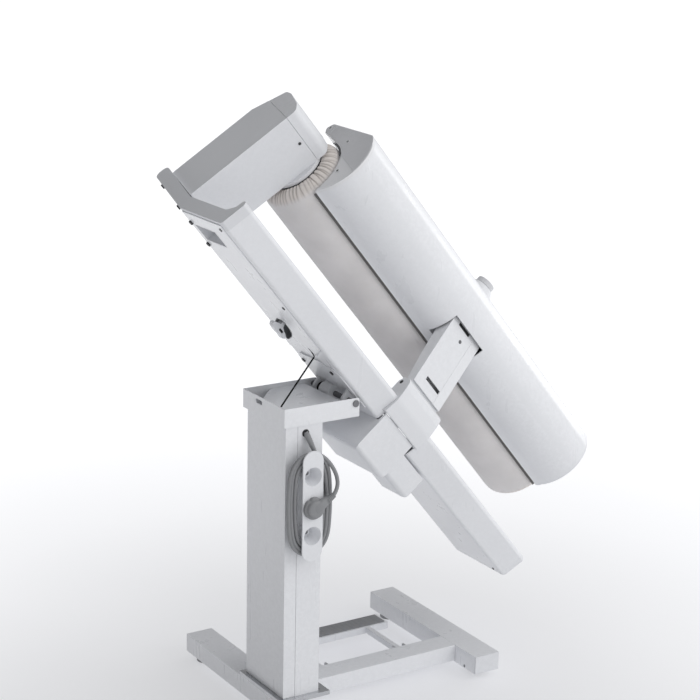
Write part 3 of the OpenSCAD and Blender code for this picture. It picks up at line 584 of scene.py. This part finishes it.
# ---------------------------------------------------------------- CAD nodes
SLOT = {s["node"]: s["material_slot"] for s in frame["record"]["subparts"]}
special = {
    "beam": dict(width=1.0, seg=3), "underside_plate": dict(width=0.3, seg=1), "pressing_plate": dict(width=0.8),
    "shoe_shell": dict(width=1.0, seg=3), "gear_housing": dict(width=1.0, seg=3, dissolve=0), "housing_top_cover": dict(width=1.0, seg=3),
    "arm_cover": dict(width=0.35, seg=2), "head_screws": dict(width=0.3), "stay_cable": dict(width=0.0, dissolve=0),
    "temperature_knob": dict(width=1.6, seg=4), "arm_sleeve": dict(width=0.9, seg=3, dissolve=0), "shoe_arm": dict(width=1.0, seg=3),
    "hinge_tray": dict(width=0.6, seg=2), "hinge_bracket": dict(width=0.7, seg=2),
    "arm_base_housing": dict(width=0.9, seg=3), "terminal_box": dict(width=0.9, seg=3, dissolve=0),
    "beam_drive_cap": dict(width=1.2, seg=3, dissolve=0), "beam_free_cap": dict(width=1.2, seg=3),
    "shoe_drive_cap": dict(width=1.2, seg=3), "shoe_free_cap": dict(width=1.2, seg=3),
}
# the temperature knob gets the cap's darker copy, painted shade on a white knob; the latch cup gets a dark grey
# that paints the shade in its hollow
over = {"hinge_bracket": "sheet_white", "balance_spring": "wire_black", "head_screws": "screw_dark", "stand_screws": "zinc",
        "tilt_pin": "zinc", "cord_gland": "rubber_black", "shoe_drive_cap": "cap_light", "latch_cup": "cup_painted_shade", "temperature_knob": "cap_painted_shade"}
for n in N:
    if n in ("cord_lead", "cord_winding", "cord_tail", "plug_body", "roller_padding", "stay_cable"):
        N[n].data.materials.clear()
        N[n].data.materials.append(M["rubber_grey"])
        continue
    dress(n, M[over.get(n, SLOT[n])], **special.get(n, {}))

# ---------------------------------------------------------------- roller cloth
RY, RU = 165.0, 232.0
RA, RB = -322.0, 514.0
PLEATS = 64


def build_roller():
    """Padded cylinder; its cloth runs over both rims and is gathered round the hole in each end."""
    sides = PLEATS * 12
    gap = 2 * math.pi / PLEATS
    folds = [((k + 0.5 + R.uniform(-0.26, 0.26)) * gap, R.uniform(0.45, 1.15), R.uniform(-0.8, 0.8) * gap, R.uniform(0.8, 1.3)) for k in range(PLEATS)]
    angles = [2 * math.pi * k / sides for k in range(sides)]
    rows, uvs, fold_shade_v, gather_v = [], [], [], []

    def fold_at(a, t):
        """0 on a puffed ridge, 1 in the bottom of a fold; t runs from the rim (0) to the hole (1)."""
        out = 0.0
        k0 = int(a / gap)
        for k in (k0 - 2, k0 - 1, k0, k0 + 1, k0 + 2):
            c, amp, skew, wide = folds[k % PLEATS]
            d = (a - c - skew * t + math.pi) % (2 * math.pi) - math.pi
            out = max(out, amp * math.exp(-(d / (0.2 * gap * wide)) ** 2))
        return min(1.0, out)

    def lump(l, a):
        return 0.22 * math.sin(l / 61.0 + 2.1 * math.sin(a)) + 0.16 * math.sin(l / 23.0 - 1.7 * a) + 0.12 * math.sin(3 * a + l / 97.0)

    def row(l, r, nl, nr, depth, t, along, gather, soft=0.0):
        pts = []
        for a in angles:
            f = fold_at(a, t) if depth else 0.0
            rr = r + (lump(l, a) * soft if soft else 0.0) - nr * depth * f
            pts.append(H(l - nl * depth * f, RY + rr * math.cos(a), RU + rr * math.sin(a)))
            # fold depth, stored as painted shade for the cloth material
            fold_shade_v.append(f * min(1.0, depth / 2.0))
            gather_v.append(gather)
        rows.append(pts)
        uvs.append(along / 1000)

    def end_rows(l0, sgn):
        """Rows from the hole to the rim. sgn is +1 at the end that faces -l."""
        line = [(49.0, 3.0), (51.4, -5.0), (52.6, -8.0), (54.8, -8.9), (58.0, -8.7), (62.0, -7.9), (66.0, -6.5), (69.5, -4.7), (72.5, -2.5), (75.0, 0.2),
                (77.0, 3.2), (78.5, 6.6), (79.3, 10.4), (79.55, 14.5), (79.6, 19.0)]
        out = []
        for i, (r, d) in enumerate(line):
            a, b = line[max(0, i - 1)], line[min(len(line) - 1, i + 1)]
            tr, tl = b[0] - a[0], b[1] - a[1]
            q = math.hypot(tr, tl)
            nr, nl = tl / q, -tr / q          # outward, away from the cloth body
            t = max(0.0, min(1.0, 1 - (r - 52) / 28))
            depth = 0.0 if i == 0 else (2.3 * t + 1.2 * (1 - t)) * (1 - sm((d + 1.0) / 13.0))
            g = 1 - sm((d + 1.0) / 12.0)
            out.append((l0 + sgn * d, r, sgn * nl, nr, depth, t, r, g))
        return out

    near = end_rows(RA, 1)
    for q in near:
        row(*q[:6], q[6], q[7])
    l = RA + 24
    while l < RB - 22.9:
        row(l, 79.6, 0, 1, 0.0, 0.0, 83 + l - RA, 0.0, 0.6)
        l += 6.58
    for q in reversed(end_rows(RB, -1)):
        row(*q[:6], 83 + RB - RA + 80 - q[6], q[7])
    circ = 2 * math.pi * 0.0796
    o = grid_mesh("roller_cloth", rows, close_u=True, uv=lambda i, j: (uvs[min(i, len(uvs) - 1)], circ * j / sides))
    for name, vals in (("fold", fold_shade_v), ("gather", gather_v)):
        at = o.data.attributes.new(name, "FLOAT", "POINT")
        at.data.foreach_set("value", vals)
    return o


roller = build_roller()
roller.data.materials.append(M["cloth"])
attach(roller, "roller")
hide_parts("roller_padding")

# ---------------------------------------------------------------- stay cable
STAY_A, STAY_B, STAY_C = S(2.0, 16, 618.3), S(93.6, 56, 688.0), S(84.9, 58.6, 702.9)
stay_line = [STAY_A.lerp(STAY_B, i / 30) for i in range(30)] + bez(STAY_B.lerp(STAY_A, 0.02), STAY_B, STAY_B, STAY_B.lerp(STAY_C, 0.12), 6) + [STAY_B.lerp(STAY_C, 0.12 + 0.88 * i / 10) for i in range(1, 11)]
n_stay = len(stay_line)
stay = tube("stay_wire", stay_line, lambda t: 0.00155 if t < 31 / n_stay else 0.00085, 16)
stay.data.materials.append(M["wire_black"])
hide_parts("stay_cable")
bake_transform(stay)


# ---------------------------------------------------------------- pieces on the shoe's drive end and arm; the dark plates among them paint shade
def plate_piece(name, outline, l_lo, l_hi, mat, body, edge=0.25):
    """Thin plate across the head: outline in (y, u), from l_lo to l_hi, with softened edges."""
    bm = bmesh.new()
    lo_v = [bm.verts.new(H(l_lo, y, u)) for y, u in outline]
    hi_v = [bm.verts.new(H(l_hi, y, u)) for y, u in outline]
    bm.faces.new(lo_v)
    bm.faces.new(list(reversed(hi_v)))
    for i in range(len(outline)):
        j = (i + 1) % len(outline)
        bm.faces.new([lo_v[j], lo_v[i], hi_v[i], hi_v[j]])
    bmesh.ops.recalc_face_normals(bm, faces=bm.faces)
    o = new_obj(name, bm, False)
    b = o.modifiers.new("edges", "BEVEL")
    b.width = edge / 1000
    b.segments = 2
    b.limit_method = "ANGLE"
    b.angle_limit = math.radians(40)
    o.data.materials.append(M[mat])
    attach(o, body)
    return o


def arc2(cy, cu, r, a0, a1, n):
    return [(cy + r * math.cos(math.radians(a0 + (a1 - a0) * i / n)), cu + r * math.sin(math.radians(a0 + (a1 - a0) * i / n))) for i in range(n + 1)]


# grey plates laid on the shoe's end cap: painted shade of its upper zone and top corner
cap_shade_outline = (arc2(110, 283, 77.0, 190, 147, 18) + [(51.5, 333.5), (56.5, 340.5), (63.5, 346.6), (72.0, 350.2), (82.0, 351.2), (188.6, 352.6), (190.6, 330.2), (184.0, 328.2)]
             + arc2(165, 232, 88.0, 98, 136.5, 12))
corner_shade_outline = [(191.2, 352.6), (205.4, 352.9), (208.6, 351.2), (214.4, 343.4), (213.8, 340.4), (206.8, 333.4), (193.2, 330.8)]
caps = [plate_piece("cap_shade_plate", cap_shade_outline, -318.7, -318.0, "cap_painted_shade", "shoe"),
        plate_piece("cap_corner_shade_plate", corner_shade_outline, -318.7, -318.0, "cap_painted_shade", "shoe"),
        # two thin near-black arcs round the pressing plate's edge: painted shade of the gap there
        plate_piece("cap_gap_shade_outer", arc2(165, 232, 85.3, 97, 131, 16) + arc2(165, 232, 84.1, 131, 97, 16), -318.5, -317.0, "dark_trim_and_gap_shade", "shoe", 0.1),
        plate_piece("cap_gap_shade_inner", arc2(165, 232, 83.3, 95, 133, 16) + arc2(165, 232, 81.7, 133, 95, 16), -318.5, -317.0, "dark_trim_and_gap_shade", "shoe", 0.1)]
# dark strip behind the shell's lower lip: painted shadow of the gap between the lip and the roller
strip = []
for l in [-312.0 + 4.1 * i for i in range(201)]:
    strip.append([H(l, y, u) for y, u in arc2(165, 232, 84.8, 188, 200.6, 8) + arc2(165, 232, 82.6, 200.2, 188, 8)])
lip_gap_shade = grid_mesh("lip_gap_shade_strip", strip, close_u=True, cap=True)
lip_gap_shade.data.materials.append(M["lip_gap_shade"])
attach(lip_gap_shade, "shoe")
# black disc in the slot of the latch paddle: painted shade of the hole's dark inside
def slot_ring(y, r):
    ring = [(-163.0 + r * math.cos(math.radians(a)), r * math.sin(math.radians(a))) for a in range(-90, 91, 18)]
    ring += [(-170.0 + r * math.cos(math.radians(a)), r * math.sin(math.radians(a))) for a in range(90, 271, 18)]
    return [H(l, y, -0.8 + u) for l, u in ring]


slot_shade_rows = [slot_ring(94.6, 2.2), slot_ring(88.4, 2.2), slot_ring(87.9, 1.7), slot_ring(88.1, 0.9)]
latch_slot_shade = grid_mesh("latch_slot_shade", slot_shade_rows, close_u=True, cap=True)
latch_slot_shade.data.materials.append(M["rubber_black"])
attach(latch_slot_shade, "latch")
# screw in the arm's cover, and a black lining in the notch at the arm's upper end that paints the notch's shade
CA, SA = math.cos(math.radians(15.18)), math.sin(math.radians(15.18))


def A(l, a, b):
    return H(l, -0.5 + a * CA + b * SA, 113 - a * SA + b * CA)


arm_out = (U_DIR * SA - Y_DIR * CA).normalized()
arm_rim = lathe("arm_screw_rim", [(0.0, 0.0036), (0.0004, 0.0036), (0.0006, 0.0033), (0.0006, 0.0026), (0.0001, 0.0024), (0.0, 0.0024)],
                A(101.8, 0.0, 132.0), arm_out, 40, cap=False)
arm_rim.data.materials.append(M["dark_trim_and_gap_shade"])
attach(arm_rim, "shoe")
arm_screw = lathe("arm_screw", [(-0.0004, 0.0023), (0.0003, 0.0023), (0.0006, 0.0019), (0.0006, 0.001), (0.0001, 0.0008), (0.0001, 0.0)],
                  A(101.8, 0.0, 132.0), arm_out, 40)
arm_screw.data.materials.append(M["zinc"])
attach(arm_screw, "shoe")
notch_shade_rings = []
for a, g in ((2.9, 0.3), (1.9, 0.3), (1.6, 0.6)):
    x0, x1, z0, z1 = 77.2 + g, 112.8 - g, 153.1 + g, 160.8 - g
    notch_shade_rings.append([A(x0 + 0.8, a, z0), A(x1 - 0.8, a, z0), A(x1, a, z0 + 0.8), A(x1, a, z1 - 0.8), A(x1 - 0.8, a, z1), A(x0 + 0.8, a, z1), A(x0, a, z1 - 0.8), A(x0, a, z0 + 0.8)])
notch_shade_obj = grid_mesh("arm_notch_shade", notch_shade_rings, close_u=True, cap=True, smooth=False)
notch_shade_obj.data.materials.append(M["rubber_black"])
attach(notch_shade_obj, "shoe")
for i, (y, u) in enumerate(((121.9, 325.3), (74.8, 260.5), (205.0, 344.2))):
    ring = lathe("cap_screw_rim_%d" % i, [(0.0, 0.0040), (0.0004, 0.0040), (0.0008, 0.0036), (0.0008, 0.0028), (0.0002, 0.0025), (0.0, 0.0025)],
                 H(-318.4, y, u), -L_DIR, 40, cap=False)
    ring.data.materials.append(M["cap_light"])
    head = lathe("cap_screw_%d" % i, [(0.0, 0.0026), (0.0006, 0.0026), (0.0009, 0.0022), (0.0009, 0.0011), (0.0003, 0.0009), (0.0003, 0.0)],
                 H(-318.2, y, u), -L_DIR, 40)
    head.data.materials.append(M["screw_dark"])
    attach(ring, "shoe")
    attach(head, "shoe")

# ---------------------------------------------------------------- floor and light
bm = bmesh.new()
q = 60.0
vs = [bm.verts.new(p) for p in ((-q, -q, 0), (q, -q, 0), (q, q, 0), (-q, q, 0))]
bm.faces.new(vs)
floor = new_obj("floor", bm, False)
fm = bpy.data.materials.new("floor_white")
nt, bsdf, _ = nodes_of(fm)
co = object_coord(nt)
ln = node(nt, "ShaderNodeVectorMath", operation="LENGTH")
nt.links.new(co, ln.inputs[0])
bsdf.inputs["Base Color"].default_value = (0.42, 0.423, 0.435, 1)
bsdf.inputs["Roughness"].default_value = 0.8
bsdf.inputs["Specular IOR Level"].default_value = 0.1
# painted light: the floor glows, dim near the object and brighter far off, which paints a pool of shade round the
# object
glow = span(nt, ln.outputs["Value"], 0.0, 4.0)
fr = node(nt, "ShaderNodeValToRGB")
fr.color_ramp.interpolation = "LINEAR"
fr.color_ramp.elements[0].position = 0.0
fr.color_ramp.elements[0].color = (0.44, 0.444, 0.465, 1)
fr.color_ramp.elements[1].position = 1.0
fr.color_ramp.elements[1].color = (0.86, 0.862, 0.866, 1)
for p_, c_ in ((0.10, 0.50), (0.24, 0.66), (0.45, 0.82)):
    e_ = fr.color_ramp.elements.new(p_)
    e_.color = (c_, c_ * 1.004, c_ * 1.02, 1)
nt.links.new(glow, fr.inputs[0])
nt.links.new(fr.outputs[0], bsdf.inputs["Emission Color"])
# the sweep behind the object is lit a little more than the floor in front of it
side = node(nt, "ShaderNodeVectorMath", operation="DOT_PRODUCT")
nt.links.new(co, side.inputs[0])
side.inputs[1].default_value = (0.62, 0.78, 0.0)
nt.links.new(span(nt, side.outputs["Value"], -0.9, 0.25, 0.66, 1.0, True), bsdf.inputs["Emission Strength"])
floor.data.materials.append(fm)

world = bpy.data.worlds.new("studio")
scene.world = world
world.use_nodes = True
wt = world.node_tree
wt.nodes.clear()
wo = wt.nodes.new("ShaderNodeOutputWorld")
bg = wt.nodes.new("ShaderNodeBackground")
wt.links.new(bg.outputs[0], wo.inputs[0])
tc = wt.nodes.new("ShaderNodeTexCoord")
dot = wt.nodes.new("ShaderNodeVectorMath")
dot.operation = "DOT_PRODUCT"
wt.links.new(tc.outputs["Generated"], dot.inputs[0])
dot.inputs[1].default_value = Vector((0.62, -0.62, 0.48)).normalized()
ramp = wt.nodes.new("ShaderNodeValToRGB")
mr = wt.nodes.new("ShaderNodeMapRange")
mr.inputs["From Min"].default_value = -1
mr.inputs["From Max"].default_value = 1
wt.links.new(dot.outputs["Value"], mr.inputs["Value"])
wt.links.new(mr.outputs[0], ramp.inputs[0])
cr = ramp.color_ramp
cr.interpolation = "B_SPLINE"
cr.elements[0].position = 0.0
cr.elements[0].color = (0.05, 0.051, 0.053, 1)
cr.elements[1].position = 1.0
cr.elements[1].color = (1.0, 1.0, 1.0, 1)
for p_, c_ in ((0.30, 0.07), (0.50, 0.20), (0.72, 0.66)):
    e_ = cr.elements.new(p_)
    e_.color = (c_, c_ * 1.005, c_ * 1.02, 1)
wt.links.new(ramp.outputs[0], bg.inputs[0])
bg.inputs[1].default_value = 1.1


def area(name, loc, target, sx, sy, power, col=(1, 1, 1)):
    d = bpy.data.lights.new(name, "AREA")
    d.shape = "RECTANGLE"
    d.size, d.size_y = sx, sy
    d.energy = power
    d.color = col
    o = bpy.data.objects.new(name, d)
    scene.collection.objects.link(o)
    o.location = loc
    o.rotation_euler = (Vector(target) - Vector(loc)).to_track_quat("-Z", "Y").to_euler()
    return o


area("key", (1.6, -2.6, 2.3), (0, 0, 0.75), 1.6, 1.6, 10.5)
area("strip", (2.85, 0.55, 1.05), (0.05, 0, 0.8), 0.4, 1.3, 3.6)

scene.view_settings.view_transform = "Standard"
scene.view_settings.look = "None"
scene.view_settings.exposure = 0.0
scene.view_settings.gamma = 1.0
